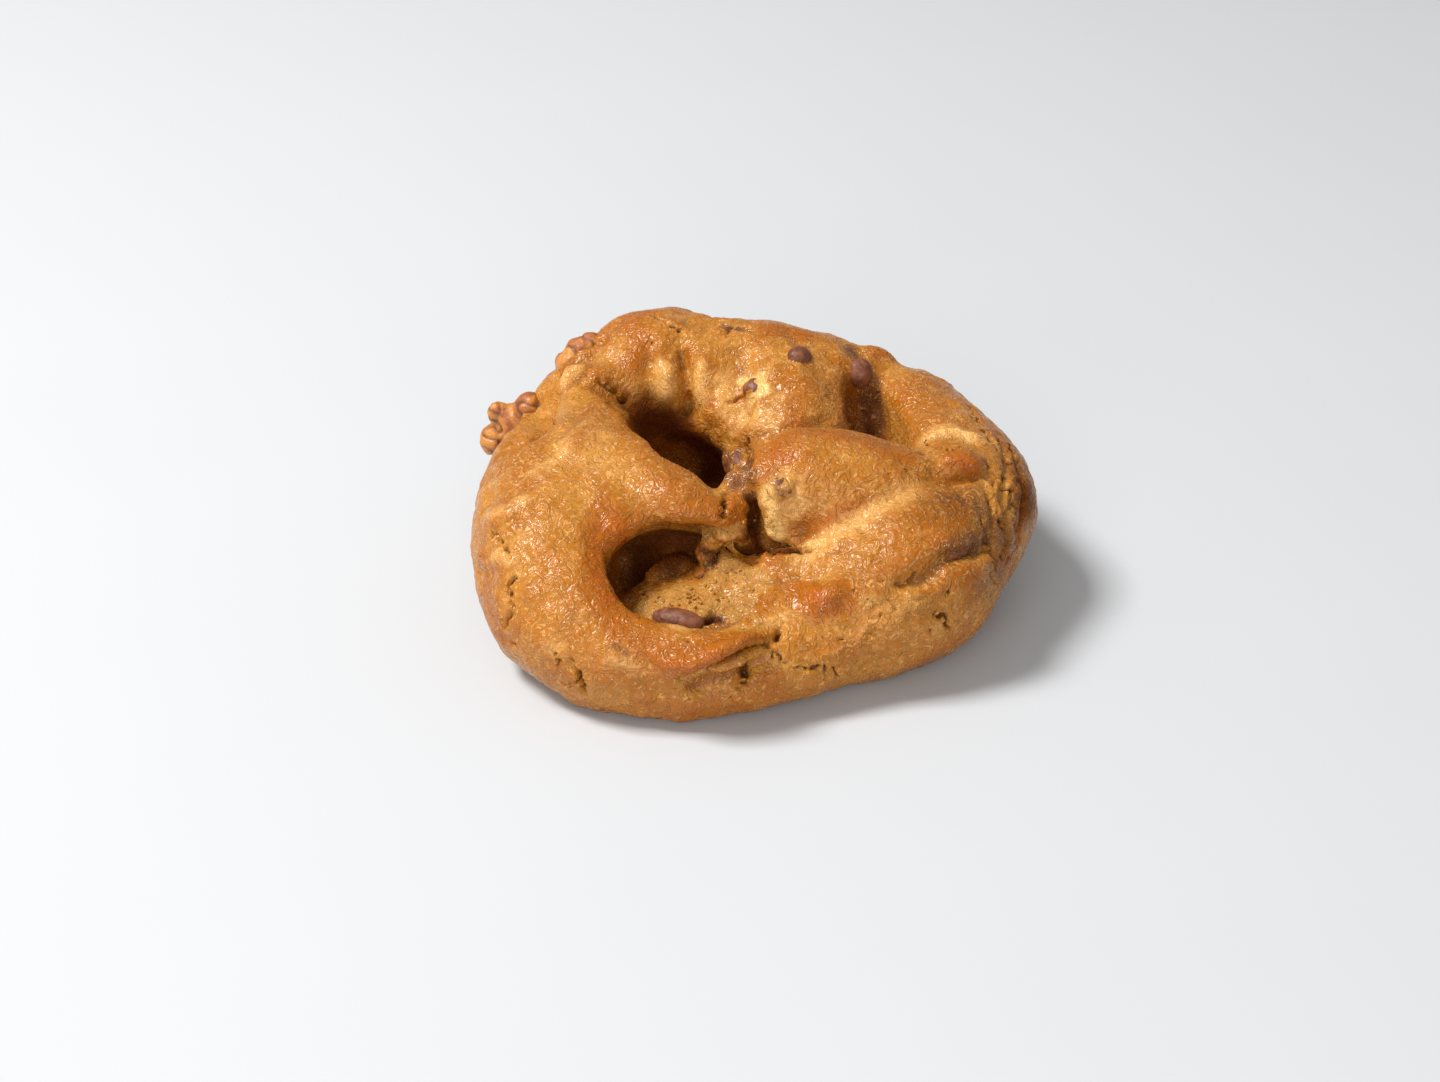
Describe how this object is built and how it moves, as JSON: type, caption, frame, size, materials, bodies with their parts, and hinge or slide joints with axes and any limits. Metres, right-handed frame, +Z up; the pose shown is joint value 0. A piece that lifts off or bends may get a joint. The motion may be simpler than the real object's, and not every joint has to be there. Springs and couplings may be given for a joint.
{
  "type": "cookie",
  "caption": "Thick baked cookie of folded dough round two hollows, with chocolate chips and walnut pieces.",
  "frame": {"origin": "middle of the cookie's outline at the level of its flat underside", "axes": "+X to the right across the cookie as pictured, +Y away from the viewer, +Z up"},
  "size_m": [0.1004, 0.0876, 0.0394],
  "materials": {
    "dough": "baked golden brown, slightly greasy",
    "chocolate": "dull chocolate",
    "walnut": "toasted nut"
  },
  "bodies": {
    "root": {"dough": "dough", "chip_ridge": "chocolate", "chip_valley": "chocolate", "chip_lobe": "chocolate", "chip_flap": "chocolate", "chip_floor": "chocolate", "chip_hollow": "chocolate", "chip_side": "chocolate", "walnut_left": "walnut", "walnut_back": "walnut"}
  },
  "joints": []
}
